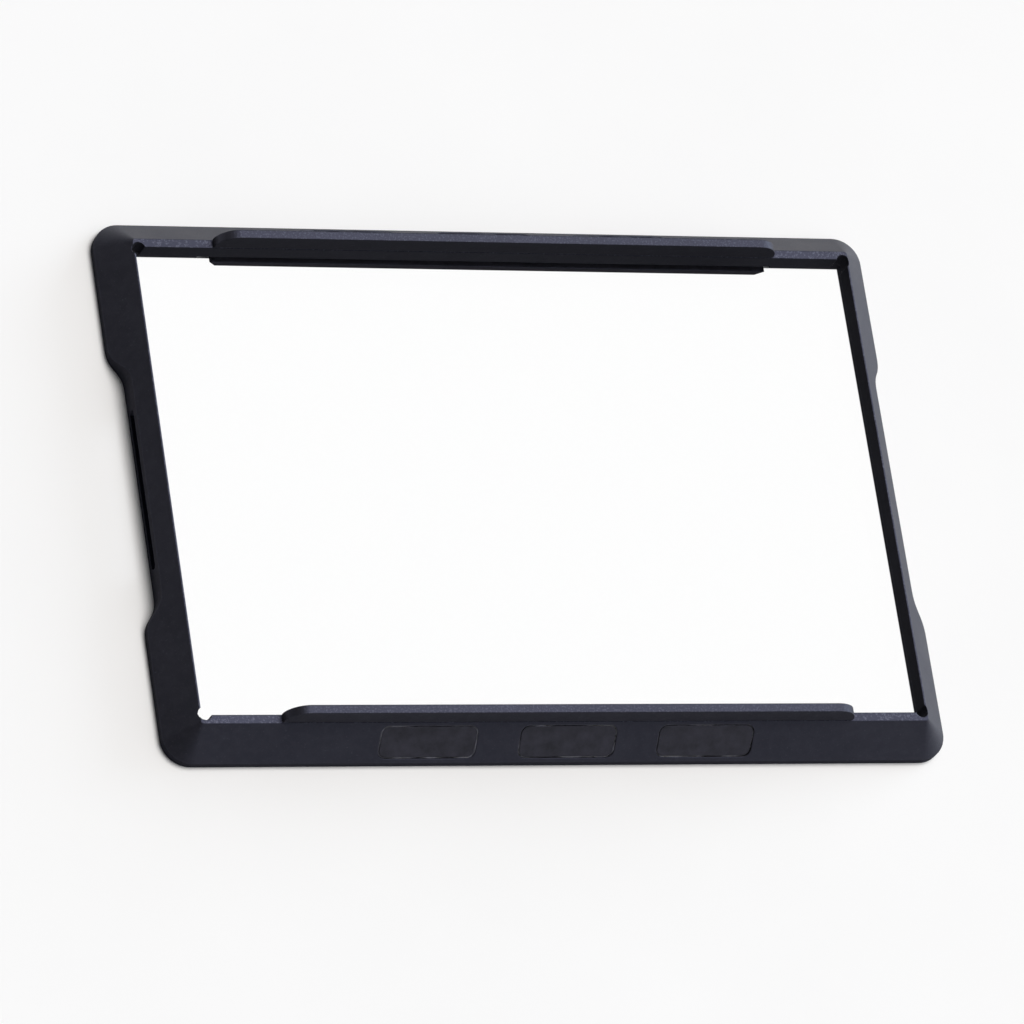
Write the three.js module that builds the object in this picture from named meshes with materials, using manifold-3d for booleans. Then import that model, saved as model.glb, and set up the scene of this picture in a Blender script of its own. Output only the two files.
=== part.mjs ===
import * as THREE from 'three';
import { mergeVertices } from 'three/addons/utils/BufferGeometryUtils.js';
import Module from 'manifold-3d';

// Glass film carrier: a bevelled upper frame that lifts off a glass stage.
// Millimetres, +Z up. The origin is the centre of the footprint on the table.
// The long sides are near (-Y) and far (+Y), the short ends left (-X) and right (+X).

// Outer body of the upper frame
const FRAME_LENGTH = 176;
const FRAME_WIDTH = 121.4;
const OUTER_CORNER_RADIUS = 6;
const EDGE_LAND = 1.8;
const BEVEL_RISE = 6.8;
const BEVEL_RUN = 6.25;
const CREST_CORNER_RADIUS = 0.6;

// Flat rim left between the bevel and the window
const SIDE_RIM = 1.85;
const END_RIM = 0.35;

// Round reliefs in the corners of the window, and how far each centre lies inside its two walls
const RELIEF_RADIUS = 1.5;
const RELIEF_END_INSET = 0.8;
const RELIEF_SIDE_INSET = 0.4;

// Notches in the short ends, and the film slot at the foot of each
const NOTCH_DEPTH = 3.1;
const NOTCH_FLOOR = 47;
const NOTCH_SHOULDER = 8.8;
const FILM_WIDTH = 35;
const FILM_PLAY = 0.35;
const FILM_SLOT_SILL = 1.3;
const FILM_SLOT_HEIGHT = 2.2;
const FILM_SLOT_RADIUS = 0.8;

// Guide rails that stand on the rim of the long sides
const RAIL_LENGTH = 128;
const RAIL_HEIGHT = 5.3;
const RAIL_END_RADIUS = 4.9;

// Magnets set in the long bevels
const MAGNET_LENGTH = 21.1;
const MAGNET_WIDTH = 7;
const MAGNET_THICKNESS = 1;
const MAGNET_CORNER_RADIUS = 1.6;
const MAGNET_PITCH = 31.15;
const MAGNET_UP_BEVEL = 4.7;
const MAGNET_SINK = 0.15;

// Glass stage: a plate carried by two bars under the long sides
const GLASS_THICKNESS = 2;
const GLASS_OVERLAP = 1.3;
const GLASS_PLAY = 0.4;
const LEDGE_THICKNESS = 1.7;
const BAR_LENGTH = 131;
const BAR_SHIFT = 1.2;
const BAR_WIDTH = 3.4;
const BAR_END_CHAMFER = 3.5;

// Steel keepers in the outer faces of the bars
const KEEPER_LENGTH = 20;
const KEEPER_HEIGHT = 1.8;
const KEEPER_THICKNESS = 0.9;

// Gap between seated pieces, and how far a cutter runs past the face it cuts
const FIT_GAP = 0.3;
const OVERRUN = 1;

// Fineness of the arcs and of the shoulder curves
const ARC_STEPS = 6;
const CURVE_STEPS = 12;

// Sizes that follow from the ones above
const rimTop = EDGE_LAND + BEVEL_RISE;
const crestLength = FRAME_LENGTH - 2 * BEVEL_RUN;
const crestWidth = FRAME_WIDTH - 2 * BEVEL_RUN;
const windowLength = crestLength - 2 * END_RIM;
const windowWidth = crestWidth - 2 * SIDE_RIM;
const windowEdge = windowWidth / 2;
const glassUnderside = LEDGE_THICKNESS + FIT_GAP;
const glassTop = glassUnderside + GLASS_THICKNESS;
const lipUnderside = glassTop + FIT_GAP;
const glassLength = windowLength + 2 * GLASS_OVERLAP;
const glassWidth = windowWidth + 2 * GLASS_OVERLAP;
const bevelAngle = Math.atan2(BEVEL_RISE, BEVEL_RUN);
const magnetPlaces = [
  { label: 'left', x: -MAGNET_PITCH },
  { label: 'middle', x: 0 },
  { label: 'right', x: MAGNET_PITCH },
];

const wasm = await Module();
wasm.setup();

// Solid from a closed three.js geometry
function solidOf(geometry) {
  const bare = geometry.clone();
  bare.deleteAttribute('normal');
  bare.deleteAttribute('uv');
  const merged = mergeVertices(bare);
  return new wasm.Manifold(new wasm.Mesh({
    numProp: 3,
    vertProperties: new Float32Array(merged.attributes.position.array),
    triVerts: new Uint32Array(merged.index.array),
  }));
}

// three.js geometry of a solid
function geometryOf(solid) {
  const mesh = solid.getMesh();
  const geometry = new THREE.BufferGeometry();
  geometry.setAttribute('position', new THREE.BufferAttribute(mesh.vertProperties, 3));
  geometry.setIndex(new THREE.BufferAttribute(mesh.triVerts, 1));
  const faceted = geometry.toNonIndexed();
  faceted.computeVertexNormals();
  return faceted;
}

// Rectangle about the origin with rounded corners, drawn counterclockwise
function roundedRectangle(length, width, radius) {
  const x = length / 2 - radius;
  const y = width / 2 - radius;
  const quarter = Math.PI / 2;
  const shape = new THREE.Shape();
  shape.absarc(x, y, radius, 0, quarter, false);
  shape.absarc(-x, y, radius, quarter, 2 * quarter, false);
  shape.absarc(-x, -y, radius, 2 * quarter, 3 * quarter, false);
  shape.absarc(x, -y, radius, 3 * quarter, 4 * quarter, false);
  shape.closePath();
  return shape;
}

// Prism of an XY shape between two heights
function prism(shape, low, high, steps = ARC_STEPS) {
  const geometry = new THREE.ExtrudeGeometry(shape, {
    depth: high - low,
    bevelEnabled: false,
    curveSegments: steps,
  });
  return geometry.translate(0, 0, low);
}

// Prism of a shape drawn in X and Z, between two values of Y
function sidePrism(shape, nearY, farY, steps = ARC_STEPS) {
  return prism(shape, -farY, -nearY, steps).rotateX(Math.PI / 2);
}

// Box given by the two ends of each of its edges
function block([x0, x1], [y0, y1], [z0, z1]) {
  const box = new THREE.BoxGeometry(x1 - x0, y1 - y0, z1 - z0);
  return box.translate((x0 + x1) / 2, (y0 + y1) / 2, (z0 + z1) / 2);
}

// Loft through outlines that have the same number of points, each at its height
function loft(sections) {
  const rings = sections.map(({ shape, z }) => ({ points: ringOf(shape), z }));
  const count = rings[0].points.length;
  const positions = rings.flatMap(({ points, z }) => points.flatMap((p) => [p.x, p.y, z]));
  const indices = [];
  for (let level = 0; level + 1 < rings.length; level += 1) {
    for (let i = 0; i < count; i += 1) {
      const next = (i + 1) % count;
      const low = level * count;
      const high = low + count;
      indices.push(low + i, low + next, high + next);
      indices.push(low + i, high + next, high + i);
    }
  }
  const top = (rings.length - 1) * count;
  THREE.ShapeUtils.triangulateShape(rings[0].points, []).forEach(([a, b, c]) => {
    indices.push(a, c, b);
  });
  THREE.ShapeUtils.triangulateShape(rings.at(-1).points, []).forEach(([a, b, c]) => {
    indices.push(top + a, top + b, top + c);
  });
  const geometry = new THREE.BufferGeometry();
  geometry.setAttribute('position', new THREE.Float32BufferAttribute(positions, 3));
  geometry.setIndex(indices);
  return geometry;
}

// Points of a closed outline, without the last, which repeats the first
function ringOf(shape) {
  return shape.getPoints(ARC_STEPS).slice(0, -1);
}

// Places a geometry or a copy of it on the near or the far side
function onSide(geometry, side) {
  return side === 'near' ? geometry.clone() : geometry.clone().rotateZ(Math.PI);
}

// Elevation of a guide rail: square at its foot, a quarter round at each upper corner
function railElevation() {
  const half = RAIL_LENGTH / 2;
  const centreX = half - RAIL_END_RADIUS;
  const centreZ = RAIL_HEIGHT - RAIL_END_RADIUS;
  const quarter = Math.PI / 2;
  const shape = new THREE.Shape();
  shape.moveTo(-half, FIT_GAP);
  shape.lineTo(half, FIT_GAP);
  shape.absarc(centreX, centreZ, RAIL_END_RADIUS, 0, quarter, false);
  shape.absarc(-centreX, centreZ, RAIL_END_RADIUS, quarter, 2 * quarter, false);
  shape.closePath();
  return shape;
}

// Elevation of a stage bar: its lower corners are cut off at an angle
function barElevation() {
  const half = BAR_LENGTH / 2;
  const shape = new THREE.Shape();
  shape.moveTo(BAR_END_CHAMFER - half, 0);
  shape.lineTo(half - BAR_END_CHAMFER, 0);
  shape.lineTo(half, BAR_END_CHAMFER);
  shape.lineTo(half, glassTop);
  shape.lineTo(-half, glassTop);
  shape.lineTo(-half, BAR_END_CHAMFER);
  shape.closePath();
  return shape;
}

// Outline of a thumb notch at the right end: two S-shaped shoulders and a straight floor
function notchShape() {
  const edge = FRAME_LENGTH / 2;
  const floorX = edge - NOTCH_DEPTH;
  const floorY = NOTCH_FLOOR / 2;
  const mouthY = floorY + NOTCH_SHOULDER;
  const middleY = floorY + NOTCH_SHOULDER / 2;
  const shape = new THREE.Shape();
  shape.moveTo(edge + OVERRUN, -mouthY);
  shape.lineTo(edge + OVERRUN, mouthY);
  shape.lineTo(edge, mouthY);
  shape.bezierCurveTo(edge, middleY, floorX, middleY, floorX, floorY);
  shape.lineTo(floorX, -floorY);
  shape.bezierCurveTo(floorX, -middleY, edge, -middleY, edge, -mouthY);
  shape.closePath();
  return shape;
}

// Film slot through the foot of the right end, above a thin sill
function filmSlot() {
  const mouth = roundedRectangle(FILM_WIDTH + 2 * FILM_PLAY, FILM_SLOT_HEIGHT, FILM_SLOT_RADIUS);
  const inside = windowLength / 2 + GLASS_OVERLAP;
  return sidePrism(mouth, inside, FRAME_LENGTH / 2 + OVERRUN)
    .rotateZ(-Math.PI / 2)
    .translate(0, 0, FILM_SLOT_SILL + FILM_SLOT_HEIGHT / 2);
}

// Puts a shape drawn on the near bevel in its place: X along the side, Y up the bevel
function ontoBevel(geometry, x, sink) {
  return geometry
    .translate(0, MAGNET_UP_BEVEL, -sink)
    .rotateX(bevelAngle)
    .translate(x, -FRAME_WIDTH / 2, EDGE_LAND);
}

function magnet(x) {
  const outline = roundedRectangle(MAGNET_LENGTH, MAGNET_WIDTH, MAGNET_CORNER_RADIUS);
  return ontoBevel(prism(outline, -MAGNET_THICKNESS, 0), x, MAGNET_SINK);
}

function magnetPocket(x) {
  const grown = 2 * FIT_GAP;
  const radius = MAGNET_CORNER_RADIUS + FIT_GAP;
  const outline = roundedRectangle(MAGNET_LENGTH + grown, MAGNET_WIDTH + grown, radius);
  const bottom = -MAGNET_THICKNESS - FIT_GAP;
  return ontoBevel(prism(outline, bottom, OVERRUN + MAGNET_SINK), x, MAGNET_SINK);
}

// Body of the upper frame before any cut: an upright edge, then one bevel on all four sides
function bevelledBody() {
  const foot = roundedRectangle(FRAME_LENGTH, FRAME_WIDTH, OUTER_CORNER_RADIUS);
  const crest = roundedRectangle(crestLength, crestWidth, CREST_CORNER_RADIUS);
  return solidOf(loft([
    { shape: foot, z: 0 },
    { shape: foot, z: EDGE_LAND },
    { shape: crest, z: rimTop },
  ]));
}

// Window with a round relief in each corner
function windowCut() {
  const halfLength = windowLength / 2;
  let cut = solidOf(block(
    [-halfLength, halfLength],
    [-windowEdge, windowEdge],
    [-OVERRUN, rimTop + OVERRUN],
  ));
  const relief = new THREE.Shape();
  relief.absarc(0, 0, RELIEF_RADIUS, 0, 2 * Math.PI, false);
  for (const sideX of [-1, 1]) {
    for (const sideY of [-1, 1]) {
      const hole = prism(relief, lipUnderside - OVERRUN, rimTop + OVERRUN);
      hole.translate(
        sideX * (halfLength - RELIEF_END_INSET),
        sideY * (windowEdge - RELIEF_SIDE_INSET),
        0,
      );
      cut = cut.add(solidOf(hole));
    }
  }
  return cut;
}

// Recess under the lip that takes the glass with play all round
function glassRecess() {
  const halfLength = glassLength / 2 + GLASS_PLAY;
  const halfWidth = glassWidth / 2 + GLASS_PLAY;
  return solidOf(block(
    [-halfLength, halfLength],
    [-halfWidth, halfWidth],
    [-OVERRUN, lipUnderside],
  ));
}

// Recess under a long side that takes a stage bar
function barRecess() {
  const half = BAR_LENGTH / 2 + FIT_GAP;
  return block(
    [-half - BAR_SHIFT, half - BAR_SHIFT],
    [-windowEdge - BAR_WIDTH - FIT_GAP, OVERRUN - windowEdge],
    [-OVERRUN, lipUnderside],
  );
}

function upperFrame() {
  let solid = bevelledBody().subtract(windowCut()).subtract(glassRecess());
  for (const side of ['near', 'far']) {
    solid = solid.subtract(solidOf(onSide(barRecess(), side)));
    for (const { x } of magnetPlaces) {
      solid = solid.subtract(solidOf(onSide(magnetPocket(x), side)));
    }
  }
  const notch = prism(notchShape(), -OVERRUN, rimTop + OVERRUN, CURVE_STEPS);
  for (const cutter of [notch, filmSlot()]) {
    solid = solid.subtract(solidOf(cutter));
    solid = solid.subtract(solidOf(cutter.clone().rotateZ(Math.PI)));
  }
  return geometryOf(solid);
}

// Guide rail of the near side: it stands on the rim, flush with the window's wall
function guideRail() {
  return sidePrism(railElevation(), -windowEdge - SIDE_RIM, -windowEdge).translate(0, 0, rimTop);
}

// Stage bar of the near side: a ledge under the glass, an upright behind it
// and a pocket for each keeper. It stands a little to the left of the middle.
function stageBar() {
  const body = sidePrism(barElevation(), -windowEdge - BAR_WIDTH, -windowEdge)
    .translate(-BAR_SHIFT, 0, 0);
  const half = BAR_LENGTH / 2 + OVERRUN;
  let solid = solidOf(body).subtract(solidOf(block(
    [-half - BAR_SHIFT, half - BAR_SHIFT],
    [-glassWidth / 2 - FIT_GAP, OVERRUN - windowEdge],
    [LEDGE_THICKNESS, glassTop + OVERRUN],
  )));
  for (const { x } of magnetPlaces) {
    solid = solid.subtract(solidOf(keeperBlock(x, FIT_GAP, OVERRUN)));
  }
  return geometryOf(solid);
}

// Keeper of the near bar, or with a gap and an overrun the pocket that takes it
function keeperBlock(x, gap = 0, overrun = 0) {
  const half = KEEPER_LENGTH / 2 + gap;
  const outer = -windowEdge - BAR_WIDTH;
  const middle = glassTop / 2;
  const rise = KEEPER_HEIGHT / 2 + gap;
  return block(
    [x - half, x + half],
    [outer - overrun, outer + KEEPER_THICKNESS + gap],
    [middle - rise, middle + rise],
  );
}

function glassPlate() {
  return block(
    [-glassLength / 2, glassLength / 2],
    [-glassWidth / 2, glassWidth / 2],
    [glassUnderside, glassTop],
  );
}

const blackPlastic = { color: '#232429', roughness: 0.62, metalness: 0 };
const coatedMagnet = { color: '#2a2927', roughness: 0.5, metalness: 0.3 };
const clearGlass = { color: '#eef4f2', roughness: 0.03, metalness: 0, transparent: true, opacity: 0.2 };
const steel = { color: '#9c9fa3', roughness: 0.35, metalness: 1 };

function piece(name, geometry, look) {
  const mesh = new THREE.Mesh(geometry, new THREE.MeshStandardMaterial(look));
  mesh.name = name;
  return mesh;
}

// The same pieces for each long side: the far side is the near one turned half round
function sidePieces(side, make) {
  const group = new THREE.Group();
  const turned = side === 'far';
  group.rotation.z = turned ? Math.PI : 0;
  group.add(...make(turned ? -1 : 1));
  return group;
}

function coverPieces(side, sign) {
  return [
    piece(`guide_rail_${side}`, guideRail(), blackPlastic),
    ...magnetPlaces.map(({ label, x }) => piece(`magnet_${side}_${label}`, magnet(sign * x), coatedMagnet)),
  ];
}

function stagePieces(side, sign) {
  return [
    piece(`stage_bar_${side}`, stageBar(), blackPlastic),
    ...magnetPlaces.map(({ label, x }) => piece(`keeper_${side}_${label}`, keeperBlock(sign * x), steel)),
  ];
}

const cover = new THREE.Group();
cover.add(piece('upper_frame', upperFrame(), blackPlastic));

const stage = new THREE.Group();
stage.add(piece('glass_plate', glassPlate(), clearGlass));

for (const side of ['near', 'far']) {
  cover.add(sidePieces(side, (sign) => coverPieces(side, sign)));
  stage.add(sidePieces(side, (sign) => stagePieces(side, sign)));
}

const carrier = new THREE.Group();
carrier.add(stage, cover);

export default carrier;
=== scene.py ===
import math

import bmesh
import bpy
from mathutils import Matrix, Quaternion, Vector, noise


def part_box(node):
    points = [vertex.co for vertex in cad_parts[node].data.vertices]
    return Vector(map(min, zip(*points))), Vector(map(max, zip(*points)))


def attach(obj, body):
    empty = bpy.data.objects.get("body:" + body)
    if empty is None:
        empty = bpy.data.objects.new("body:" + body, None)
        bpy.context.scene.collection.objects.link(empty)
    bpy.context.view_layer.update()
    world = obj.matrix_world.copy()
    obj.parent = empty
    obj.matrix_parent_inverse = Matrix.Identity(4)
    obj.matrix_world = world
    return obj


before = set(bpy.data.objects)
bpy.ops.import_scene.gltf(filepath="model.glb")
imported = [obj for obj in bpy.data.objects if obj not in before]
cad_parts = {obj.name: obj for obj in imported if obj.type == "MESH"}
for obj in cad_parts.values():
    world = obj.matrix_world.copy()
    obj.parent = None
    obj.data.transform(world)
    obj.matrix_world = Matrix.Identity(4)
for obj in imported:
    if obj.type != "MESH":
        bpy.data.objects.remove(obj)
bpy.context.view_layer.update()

# Looks of the glass film carrier: satin black plastic, coated magnets bedded in adhesive,
# steel keepers and clear glass, lying on a pale table. Metres, in the frame's own axes.

MM = 0.001

# Camera: the point that it looks at, the direction it looks in and how steeply down, how it is
# turned about its own axis, and how far away it stands
CAMERA_TARGET = Vector((-2.0, -3.4, 0.0)) * MM
CAMERA_AZIMUTH = 46.02
CAMERA_ELEVATION = 58.11
CAMERA_ROLL = 41.68
CAMERA_DISTANCE = 1818.4 * MM
CAMERA_LENS = 304.0
CAMERA_CLIP = (0.05, 20.0)

# Light: a broad soft key from the far right, a low soft side lamp that grazes the right bevel,
# and a sky that is brighter on their side. The angles say where the light comes from.
KEY_AZIMUTH = 60.0
KEY_ELEVATION = 71.5
KEY_SPREAD = 34.0
KEY_STRENGTH = 1.98
KEY_COLOR = (1.0, 0.99, 0.97)
SIDE_AZIMUTH = 66.0
SIDE_ELEVATION = 9.0
SIDE_SPREAD = 40.0
SIDE_STRENGTH = 1.8
SIDE_COLOR = (0.75, 0.87, 1.0)
SKY_AZIMUTH = 90.0
SKY_ELEVATION = 40.0
SKY_RANGE = (0.1, 1.0)
SKY_DARK = 0.02
SKY_BRIGHT = 0.85
SKY_COLOR = (0.90, 0.95, 1.0)
BACKDROP_COLOR = (1.0, 1.0, 1.0)
BACKDROP_FADE = (0.05, 0.11)

# Table, and the white part of it under the window
TABLE_SIZE = 6.0
TABLE_DROP = 0.05 * MM
TABLE_COLOR = (0.946, 0.921, 0.905)
TABLE_DIM = 0.985
TABLE_CLOUD = 60 * MM
WINDOW_SPILL = 0.4 * MM
WINDOW_FADE = 0.1 * MM
WINDOW_WHITE = 1.0
WINDOW_SHADE = (0.05, 0.05, 0.05)

# Patterns and faces: the range that holds nearly all of a noise, how far a rounded normal leans at
# an edge, and how high the normal points where a face begins to count as level, or as upright
NOISE_RANGE = (0.3, 0.7)
LEAN_RANGE = (0.02, 0.3)
LEVEL_RANGE = (0.9, 0.99)
UPRIGHT_RANGE = (0.14, 0.42)
EDGE_ROUNDING = 0.3 * MM
EDGE_SAMPLES = 8

# Satin plastic: tints from dark to pale, finish, and the sizes, ranges and shares of its marks.
# The roughness of walls is added to that of the rest, and that of the low level faces with painted shade
# multiplies it.
FRAME_TINT = ((0.0092, 0.0088, 0.0102), (0.0162, 0.0156, 0.0180))
RAIL_TINT = ((0.0125, 0.0120, 0.0139), (0.0216, 0.0208, 0.0240))
BAR_TINT = ((0.021, 0.019, 0.022), (0.036, 0.033, 0.039))
SHEEN_TINT = (0.62, 0.645, 1.0, 1.0)
FRAME_ROUGHNESS = 0.49
RAIL_ROUGHNESS = 0.52
ROUGHNESS_SWAY = 0.04
WALL_ROUGHNESS = 0.5
CLOUD_SIZE = 14 * MM
CLOUD_SHARE = 0.6
GRAIN_SIZE = 0.22 * MM
GRAIN_DEPTH = 0.012 * MM
SPECK_SIZE = 0.42 * MM
SPECK_SHARE = 0.4
MOTTLE_SIZE = 1.9 * MM
MOTTLE_RANGE = (0.42, 0.68)
MOTTLE_SHARE = 0.02
LINT_RANGE = (0.66, 0.74)
LINT_SHARE = 0.10
WEAR_HEIGHT = (3 * MM, 5 * MM)
WEAR_RANGE = (0.35, 0.65)
WEAR_SHARE = 0.15
# The dust colour is also the colour of the painted highlight along the magnets' edges
DUST_AND_HIGHLIGHT_COLOR = (0.22, 0.22, 0.27)
DUST_RANGE = (0.52, 0.64)
FRAME_DUST = 0.27
RAIL_DUST = 0.18
# Painted shade: low faces that point up, such as the slot sills, and the foot of upright faces are
# darkened to near black, where shade falls
LOW_SHADE_HEIGHT = (6 * MM, 7 * MM)
PAINTED_SHADE_COLOR = (0.002, 0.002, 0.0025)
LOW_SHADE_ROUGHNESS = 0.15
FOOT_SHADE_HEIGHT = (1.5 * MM, 3 * MM)
FOOT_SHADE_SHARE = 0.7

# Coated magnets, with a broken painted highlight along their edges
MAGNET_TINT = ((0.0040, 0.0037, 0.0052), (0.0250, 0.0235, 0.0330))
MAGNET_SHEEN = (0.82, 0.82, 1.0, 1.0)
MAGNET_ROUGHNESS = (0.5, 0.66)
PLATING_SIZE = 2.6 * MM
PIT_SIZE = 0.35 * MM
PIT_DEPTH = 0.02 * MM
EDGE_HIGHLIGHT_SIZE = 3.2 * MM
EDGE_HIGHLIGHT_RANGE = (0.46, 0.62)
EDGE_HIGHLIGHT_SHARE = 0.6

# Steel, with streaks that are drawn out along X
STEEL_TINT = ((0.40, 0.40, 0.41), (0.60, 0.61, 0.62))
STEEL_ROUGHNESS = (0.28, 0.42)
STREAK_SIZE = 0.6 * MM
STREAK_STRETCH = (0.05, 1, 1)
STREAK_DEPTH = 0.01 * MM

# Glass
GLASS_TINT = ((0.03, 0.05, 0.045), (0.05, 0.075, 0.07))
GLASS_ROUGHNESS = (0.02, 0.05)
GLASS_ALPHA = 0.01
SMEAR_SIZE = 18 * MM

# Adhesive, with paler stretches that are a painted highlight, and its beads round the magnets
ADHESIVE_COLOR = (0.012, 0.012, 0.014)
ADHESIVE_HIGHLIGHT = (0.16, 0.16, 0.20)
ADHESIVE_ROUGHNESS = (0.22, 0.6)
ADHESIVE_HIGHLIGHT_RANGE = (0.4, 0.75)
WAVE_SIZE = 2.4 * MM
WAVE_RANGE = (0.35, 0.65)
WAVE_DEPTH = 0.05 * MM
BEAD_STEP = 0.35 * MM
BEAD_SIDES = 6
BEAD_OFFSET = 0.15 * MM
BEAD_SINK = 0.10 * MM
BEAD_THIN = 0.02 * MM
BEAD_THICK = 0.20 * MM
BEAD_WANDER = 5.0 * MM
BEAD_CONTRAST = 1.8

# Reading a magnet's mesh: points this near are one, normals this well aligned are of one face, and
# a face whose normal rises by more than this is on the outside
WELD = 0.001 * MM
ALIGNED = 0.999
OUTSIDE_RISE = 0.5


def direction(azimuth, elevation):
    """Unit vector that looks towards azimuth (0 is +Y, 90 is +X) and down by elevation, in degrees."""
    turn = math.radians(azimuth)
    dip = math.radians(elevation)
    return Vector((math.sin(turn) * math.cos(dip), math.cos(turn) * math.cos(dip), -math.sin(dip)))


def opaque(color):
    return (*color, 1.0)


class Graph:
    """Node tree of a material or of the sky, with short calls for the nodes that they share."""

    def __init__(self, owner, output, coordinates):
        self.owner = owner
        owner.use_nodes = True
        self.tree = owner.node_tree
        self.tree.nodes.clear()
        self.output = self.node(output)
        self.place = self.node("ShaderNodeTexCoord").outputs[coordinates]

    def node(self, kind, **settings):
        made = self.tree.nodes.new(kind)
        for key, value in settings.items():
            setattr(made, key, value)
        return made

    def join(self, source, target):
        self.tree.links.new(source, target)

    def feed(self, socket, value):
        """Links a socket to value, or sets it where value is plain."""
        if isinstance(value, bpy.types.NodeSocket):
            self.join(value, socket)
        else:
            socket.default_value = value

    def noise(self, size, detail=3.0, rough=0.55, stretch=(1, 1, 1)):
        """Noise between about 0 and 1 whose features are about size metres wide."""
        mapping = self.node("ShaderNodeMapping")
        mapping.inputs["Scale"].default_value = stretch
        self.join(self.place, mapping.inputs["Vector"])
        texture = self.node("ShaderNodeTexNoise")
        texture.inputs["Scale"].default_value = 1 / size
        texture.inputs["Detail"].default_value = detail
        texture.inputs["Roughness"].default_value = rough
        self.join(mapping.outputs["Vector"], texture.inputs["Vector"])
        return texture.outputs["Fac"]

    def span(self, value, low, high, to_low=0.0, to_high=1.0, curve="LINEAR"):
        """Value moved from one range to another, and held inside it."""
        node = self.node("ShaderNodeMapRange", interpolation_type=curve)
        self.feed(node.inputs["Value"], value)
        node.inputs["From Min"].default_value = low
        node.inputs["From Max"].default_value = high
        node.inputs["To Min"].default_value = to_low
        node.inputs["To Max"].default_value = to_high
        return node.outputs["Result"]

    def math(self, operation, a, b=0.0):
        node = self.node("ShaderNodeMath", operation=operation)
        self.feed(node.inputs[0], a)
        self.feed(node.inputs[1], b)
        return node.outputs["Value"]

    def product(self, first, *others):
        for other in others:
            first = self.math("MULTIPLY", first, other)
        return first

    def greatest(self, first, *others):
        for other in others:
            first = self.math("MAXIMUM", first, other)
        return first

    def mix(self, factor, a, b):
        """Colour between a and b. The node's colour sockets share their names with others, so they
        are taken by number: 6 and 7 go in, and 2 comes out."""
        node = self.node("ShaderNodeMix", data_type="RGBA")
        self.feed(node.inputs["Factor"], factor)
        self.feed(node.inputs[6], a)
        self.feed(node.inputs[7], b)
        return node.outputs[2]

    def tinted(self, pattern, tints, low=NOISE_RANGE[0], high=NOISE_RANGE[1]):
        """Colour that goes from one tint to the other as a pattern goes from low to high."""
        return self.mix(self.span(pattern, low, high), opaque(tints[0]), opaque(tints[1]))

    def shaders(self, factor, a, b):
        node = self.node("ShaderNodeMixShader")
        self.join(factor, node.inputs["Fac"])
        self.join(a, node.inputs[1])
        self.join(b, node.inputs[2])
        return node.outputs["Shader"]

    def edges(self):
        """Normal rounded over the edges, and how far it leans away from the flat face's normal."""
        bevel = self.node("ShaderNodeBevel", samples=EDGE_SAMPLES)
        bevel.inputs["Radius"].default_value = EDGE_ROUNDING
        flat = self.node("ShaderNodeNewGeometry").outputs["True Normal"]
        dot = self.node("ShaderNodeVectorMath", operation="DOT_PRODUCT")
        self.join(bevel.outputs["Normal"], dot.inputs[0])
        self.join(flat, dot.inputs[1])
        lean = self.math("SUBTRACT", 1.0, dot.outputs["Value"])
        return bevel.outputs["Normal"], self.span(lean, *LEAN_RANGE)

    def parts_of(self, vector):
        parts = self.node("ShaderNodeSeparateXYZ")
        self.join(vector, parts.inputs["Vector"])
        return parts.outputs

    def face_rise(self):
        """How high the flat face's normal points: 1 straight up, 0 level, -1 straight down."""
        normal = self.node("ShaderNodeNewGeometry").outputs["True Normal"]
        return self.parts_of(normal)["Z"]

    def facing_up(self):
        """1 on faces that point straight up, 0 on those that lean by 25 degrees or more."""
        return self.span(self.face_rise(), *LEVEL_RANGE)

    def upright(self):
        """1 on faces that stand upright, 0 on those that lean by 25 degrees or more."""
        return self.span(self.math("ABSOLUTE", self.face_rise()), *UPRIGHT_RANGE, 1.0, 0.0)

    def bump(self, height, depth, normal):
        node = self.node("ShaderNodeBump")
        node.inputs["Distance"].default_value = depth
        self.join(height, node.inputs["Height"])
        self.join(normal, node.inputs["Normal"])
        return node.outputs["Normal"]

    def seen(self):
        """1 on rays that show the background: camera, glossy and transmission rays. 0 on others."""
        path = self.node("ShaderNodeLightPath")
        kinds = ("Camera", "Glossy", "Transmission")
        return self.greatest(*[path.outputs[f"Is {kind} Ray"] for kind in kinds])

    def surface(self, **inputs):
        """Principled shader whose inputs are named with underscores in place of spaces."""
        shader = self.node("ShaderNodeBsdfPrincipled")
        for key, value in inputs.items():
            self.feed(shader.inputs[key.replace("_", " ")], value)
        self.join(shader.outputs["BSDF"], self.output.inputs["Surface"])


def material_graph(name):
    return Graph(bpy.data.materials.new(name), "ShaderNodeOutputMaterial", "Object")


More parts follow.
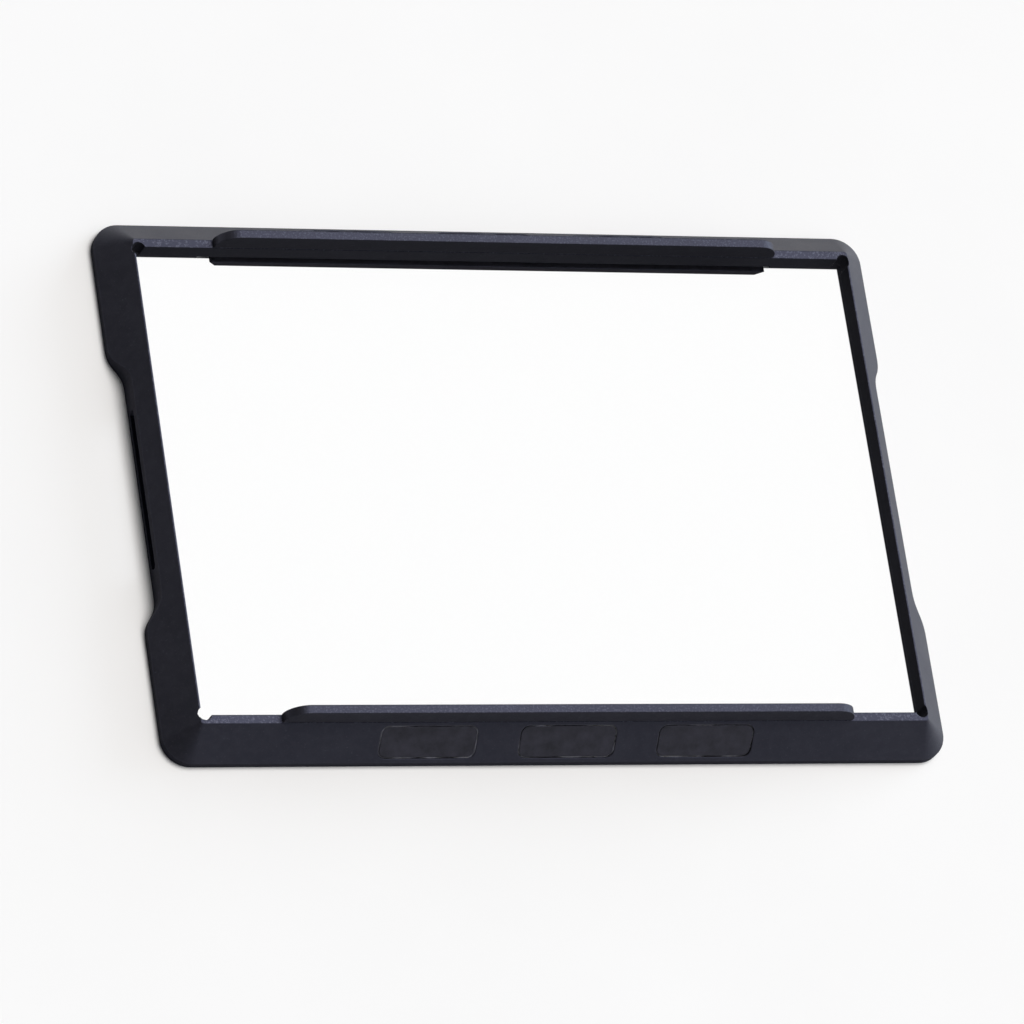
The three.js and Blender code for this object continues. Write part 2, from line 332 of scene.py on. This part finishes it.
def satin_plastic(name, tint, dust, roughness, painted_shade=0.0):
    """Moulded satin plastic: cloudy base, fine grain, faint mottling and lint, paler high edges, dust
    on faces that point up, and more matt upright faces. With the last argument at 1, low faces that
    point up, such as the sills of the slots, get painted shade and a smoother finish, and the foot of
    upright ones gets painted shade."""
    graph = material_graph(name)
    cloud = graph.noise(CLOUD_SIZE, detail=4.0)
    mottle = graph.noise(MOTTLE_SIZE, rough=0.6)
    grain = graph.noise(GRAIN_SIZE, detail=2.0, rough=0.7)
    speck = graph.noise(SPECK_SIZE, detail=2.0, rough=0.6)
    normal, lean = graph.edges()
    level = graph.facing_up()
    wall = graph.upright()
    height = graph.parts_of(graph.place)["Z"]

    cloudy = graph.span(cloud, *NOISE_RANGE, 0.0, CLOUD_SHARE)
    base_tone = graph.math("ADD", cloudy, graph.span(speck, *NOISE_RANGE, 0.0, SPECK_SHARE))
    base = graph.mix(base_tone, opaque(tint[0]), opaque(tint[1]))

    exposed = graph.product(lean, graph.span(height, *WEAR_HEIGHT))
    worn = graph.product(exposed, graph.span(speck, *WEAR_RANGE, 0.0, WEAR_SHARE))
    dusted = graph.product(level, graph.span(speck, *DUST_RANGE, 0.0, dust))
    mottled = graph.span(mottle, *MOTTLE_RANGE, 0.0, MOTTLE_SHARE)
    faint = graph.math("ADD", mottled, graph.span(speck, *LINT_RANGE, 0.0, LINT_SHARE))
    marked = graph.mix(graph.greatest(worn, dusted, faint), base, opaque(DUST_AND_HIGHLIGHT_COLOR))

    # Painted shade: near black on low level faces, such as the slot sills, and on the foot of upright
    # faces
    low = graph.span(height, *LOW_SHADE_HEIGHT, 1.0, 0.0)
    low_shade = graph.product(level, low, painted_shade)
    foot_shade = graph.product(wall, graph.span(height, *FOOT_SHADE_HEIGHT, painted_shade, 0.0), FOOT_SHADE_SHARE)
    color = graph.mix(graph.greatest(low_shade, foot_shade), marked, opaque(PAINTED_SHADE_COLOR))

    broad = graph.span(cloud, *NOISE_RANGE, roughness - ROUGHNESS_SWAY, roughness + ROUGHNESS_SWAY)
    rough = graph.math("ADD", broad, graph.span(grain, *NOISE_RANGE, -ROUGHNESS_SWAY, ROUGHNESS_SWAY))
    smoothed = graph.product(rough, graph.span(low_shade, 0.0, 1.0, 1.0, LOW_SHADE_ROUGHNESS))
    graph.surface(
        Base_Color=color,
        Roughness=graph.math("ADD", smoothed, graph.product(wall, WALL_ROUGHNESS)),
        Specular_Tint=SHEEN_TINT,
        Normal=graph.bump(grain, GRAIN_DEPTH, normal),
    )
    return graph.owner


def coated_magnet(name):
    """Dull plated face with a mottle, shallow pits and a broken painted highlight along its edges."""
    graph = material_graph(name)
    plating = graph.noise(PLATING_SIZE, detail=5.0, rough=0.65)
    pits = graph.noise(PIT_SIZE, rough=0.7)
    highlight_noise = graph.noise(EDGE_HIGHLIGHT_SIZE, rough=0.7)
    normal, lean = graph.edges()
    # Painted highlight: pale colour in broken stretches along the magnet's edges
    edge_highlight = graph.product(lean, graph.span(highlight_noise, *EDGE_HIGHLIGHT_RANGE, 0.0, EDGE_HIGHLIGHT_SHARE))
    graph.surface(
        Base_Color=graph.mix(edge_highlight, graph.tinted(plating, MAGNET_TINT), opaque(DUST_AND_HIGHLIGHT_COLOR)),
        Roughness=graph.span(plating, *NOISE_RANGE, *MAGNET_ROUGHNESS),
        Specular_Tint=MAGNET_SHEEN,
        Normal=graph.bump(pits, PIT_DEPTH, normal),
    )
    return graph.owner


def rolled_steel(name):
    """Plain rolled steel: streaks along its length."""
    graph = material_graph(name)
    streak = graph.noise(STREAK_SIZE, detail=4.0, stretch=STREAK_STRETCH)
    normal, _ = graph.edges()
    graph.surface(
        Base_Color=graph.tinted(streak, STEEL_TINT),
        Metallic=1.0,
        Roughness=graph.span(streak, *NOISE_RANGE, *STEEL_ROUGHNESS),
        Normal=graph.bump(streak, STREAK_DEPTH, normal),
    )
    return graph.owner


def adhesive(name):
    """Cured black adhesive: glossy, with small waves and paler stretches that are a painted highlight."""
    graph = material_graph(name)
    wave = graph.noise(WAVE_SIZE, detail=2.0)
    normal = graph.node("ShaderNodeNewGeometry").outputs["Normal"]
    graph.surface(
        Base_Color=graph.tinted(wave, (ADHESIVE_COLOR, ADHESIVE_HIGHLIGHT), *ADHESIVE_HIGHLIGHT_RANGE),
        Roughness=graph.span(wave, *WAVE_RANGE, *ADHESIVE_ROUGHNESS),
        Normal=graph.bump(wave, WAVE_DEPTH, normal),
    )
    return graph.owner


def clear_glass(name):
    """Clear glass: it lets nearly all of the table show, a little greener where it is smeared."""
    graph = material_graph(name)
    smear = graph.noise(SMEAR_SIZE)
    graph.surface(
        Base_Color=graph.tinted(smear, GLASS_TINT),
        Roughness=graph.span(smear, *NOISE_RANGE, *GLASS_ROUGHNESS),
        Alpha=GLASS_ALPHA,
    )
    return graph.owner


def dress(nodes, material):
    """Gives CAD nodes one material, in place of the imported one."""
    for name in nodes:
        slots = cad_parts[name].data.materials
        slots.clear()
        slots.append(material)


def magnet_facing(node):
    """Direction in which the large outer face of a magnet points."""
    upward = [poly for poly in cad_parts[node].data.polygons if poly.normal.z > OUTSIDE_RISE]
    return max(upward, key=lambda poly: poly.area).normal.copy()


def face_outline(node, facing):
    """Corners of a node's flat face that points along facing, in order round its edge. The faces are
    kept in the mesh's own order, so that the outline starts at the same corner in each run."""
    mesh = bmesh.new()
    mesh.from_mesh(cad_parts[node].data)
    bmesh.ops.remove_doubles(mesh, verts=mesh.verts, dist=WELD)
    faces = [face for face in mesh.faces if face.normal.dot(facing) > ALIGNED]
    edges = [edge for face in faces for edge in face.edges]
    rim = [edge for edge in edges if sum(face in faces for face in edge.link_faces) == 1]
    follow = {}
    for edge in rim:
        for vert in edge.verts:
            follow.setdefault(vert, []).append(edge.other_vert(vert))
    start = rim[0].verts[0]
    loop = [start]
    previous, current = start, follow[start][0]
    while current is not start:
        loop.append(current)
        ahead = [vert for vert in follow[current] if vert is not previous]
        previous, current = current, ahead[0]
    points = [vert.co.copy() for vert in loop]
    mesh.free()
    return points


def even_steps(points, step):
    """Closed line through points, divided into pieces of about one step."""
    line = []
    for a, b in zip(points, points[1:] + points[:1]):
        count = max(1, round((b - a).length / step))
        line.extend(a.lerp(b, i / count) for i in range(count))
    return line


def adhesive_bead(name, node, facing, material):
    """Uneven bead of adhesive in the gap round a magnet."""
    corners = face_outline(node, facing)
    middle = sum(corners, Vector()) / len(corners)
    path = even_steps(corners, BEAD_STEP)
    mesh = bmesh.new()
    rings = []
    for i, point in enumerate(path):
        ahead = (path[(i + 1) % len(path)] - path[i - 1]).normalized()
        outward = ahead.cross(facing).normalized()
        if outward.dot(point - middle) < 0:
            outward.negate()
        swell = 0.5 + BEAD_CONTRAST * noise.noise(point / BEAD_WANDER + middle / MM)
        radius = BEAD_THIN + (BEAD_THICK - BEAD_THIN) * min(max(swell, 0.0), 1.0)
        centre = point + outward * BEAD_OFFSET - facing * BEAD_SINK
        ring = []
        for k in range(BEAD_SIDES):
            angle = math.tau * k / BEAD_SIDES
            spoke = math.cos(angle) * outward + math.sin(angle) * facing
            ring.append(mesh.verts.new(centre + radius * spoke))
        rings.append(ring)
    for ring, after in zip(rings, rings[1:] + rings[:1]):
        for k in range(BEAD_SIDES):
            turn = (k + 1) % BEAD_SIDES
            mesh.faces.new((ring[k], ring[turn], after[turn], after[k]))
    bmesh.ops.recalc_face_normals(mesh, faces=mesh.faces)
    data = bpy.data.meshes.new(name)
    mesh.to_mesh(data)
    mesh.free()
    data.shade_smooth()
    data.materials.append(material)
    piece = bpy.data.objects.new(name, data)
    bpy.context.scene.collection.objects.link(piece)
    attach(piece, "cover")


def table_material():
    """Pale and slightly cloudy. Under the window it is plain white to the camera, through the glass
    and in reflections, and dark to all other rays, so that it throws little light up."""
    graph = material_graph("table")
    _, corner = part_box("glass_plate")
    place = graph.parts_of(graph.place)
    bands = []
    for axis, reach in (("X", corner.x + WINDOW_SPILL), ("Y", corner.y + WINDOW_SPILL)):
        bands.append(graph.span(graph.math("ABSOLUTE", place[axis]), reach - WINDOW_FADE, reach, 1.0, 0.0))
    cloud = graph.noise(TABLE_CLOUD)
    open_table = graph.node("ShaderNodeBsdfDiffuse")
    tones = ([TABLE_DIM * part for part in TABLE_COLOR], TABLE_COLOR)
    graph.join(graph.tinted(cloud, tones), open_table.inputs["Color"])
    shaded = graph.node("ShaderNodeBsdfDiffuse")
    shaded.inputs["Color"].default_value = opaque(WINDOW_SHADE)
    white = graph.node("ShaderNodeEmission")
    white.inputs["Strength"].default_value = WINDOW_WHITE
    under = graph.shaders(graph.seen(), shaded.outputs["BSDF"], white.outputs["Emission"])
    whole = graph.shaders(graph.product(*bands), open_table.outputs["BSDF"], under)
    graph.join(whole, graph.output.inputs["Surface"])
    return graph.owner


def add_table():
    mesh = bpy.data.meshes.new("table")
    half = TABLE_SIZE / 2
    corners = [(-half, -half), (half, -half), (half, half), (-half, half)]
    mesh.from_pydata([(x, y, -TABLE_DROP) for x, y in corners], [], [(0, 1, 2, 3)])
    mesh.materials.append(table_material())
    table = bpy.data.objects.new("table", mesh)
    bpy.context.scene.collection.objects.link(table)


def add_sky():
    """Sky that is bright on one side and dim on the other, with a white backdrop low round the table."""
    world = bpy.data.worlds.new("sky")
    graph = Graph(world, "ShaderNodeOutputWorld", "Generated")
    side = graph.node("ShaderNodeVectorMath", operation="DOT_PRODUCT")
    side.inputs[1].default_value = -direction(SKY_AZIMUTH + 180, SKY_ELEVATION)
    graph.join(graph.place, side.inputs[0])
    strength = graph.span(side.outputs["Value"], *SKY_RANGE, SKY_DARK, SKY_BRIGHT, "SMOOTHSTEP")
    light = graph.node("ShaderNodeBackground")
    light.inputs["Color"].default_value = opaque(SKY_COLOR)
    graph.join(strength, light.inputs["Strength"])
    backdrop = graph.node("ShaderNodeBackground")
    backdrop.inputs["Color"].default_value = opaque(BACKDROP_COLOR)
    low = graph.span(graph.parts_of(graph.place)["Z"], *BACKDROP_FADE, 1.0, 0.0)
    shown = graph.product(graph.seen(), low)
    whole = graph.shaders(shown, light.outputs["Background"], backdrop.outputs["Background"])
    graph.join(whole, graph.output.inputs["Surface"])
    bpy.context.scene.world = world


def add_lamp(name, azimuth, elevation, spread, strength, color):
    """Soft lamp far away, given by where it stands."""
    data = bpy.data.lights.new(name, "SUN")
    data.energy = strength
    data.color = color
    data.angle = math.radians(spread)
    lamp = bpy.data.objects.new(name, data)
    falls = direction(azimuth + 180, elevation)
    lamp.rotation_mode = "QUATERNION"
    lamp.rotation_quaternion = falls.to_track_quat("-Z", "Y")
    bpy.context.scene.collection.objects.link(lamp)


def add_camera():
    data = bpy.data.cameras.new("camera")
    data.lens = CAMERA_LENS
    data.clip_start, data.clip_end = CAMERA_CLIP
    camera = bpy.data.objects.new("camera", data)
    looks = direction(CAMERA_AZIMUTH, CAMERA_ELEVATION)
    roll = Quaternion((0, 0, 1), math.radians(CAMERA_ROLL))
    camera.rotation_mode = "QUATERNION"
    camera.rotation_quaternion = looks.to_track_quat("-Z", "Y") @ roll
    camera.location = CAMERA_TARGET - looks * CAMERA_DISTANCE
    bpy.context.scene.collection.objects.link(camera)
    bpy.context.scene.camera = camera


add_camera()
add_lamp("key", KEY_AZIMUTH, KEY_ELEVATION, KEY_SPREAD, KEY_STRENGTH, KEY_COLOR)
add_lamp("side", SIDE_AZIMUTH, SIDE_ELEVATION, SIDE_SPREAD, SIDE_STRENGTH, SIDE_COLOR)
add_sky()
add_table()

all_nodes = sorted(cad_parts)
magnets, rails, bars, keepers = (
    [name for name in all_nodes if name.startswith(start)]
    for start in ("magnet_", "guide_rail_", "stage_bar_", "keeper_")
)

dress(["upper_frame"], satin_plastic("frame_plastic", FRAME_TINT, FRAME_DUST, FRAME_ROUGHNESS, 1.0))
dress(rails, satin_plastic("rail_plastic", RAIL_TINT, RAIL_DUST, RAIL_ROUGHNESS))
dress(bars, satin_plastic("bar_plastic", BAR_TINT, 0.0, FRAME_ROUGHNESS))
dress(magnets, coated_magnet("magnet_coating"))
dress(keepers, rolled_steel("keeper_steel"))
dress(["glass_plate"], clear_glass("clear_glass"))

glue = adhesive("adhesive")
for name in magnets:
    adhesive_bead(name.replace("magnet", "adhesive"), name, magnet_facing(name), glue)

bpy.context.scene.view_settings.view_transform = "Standard"
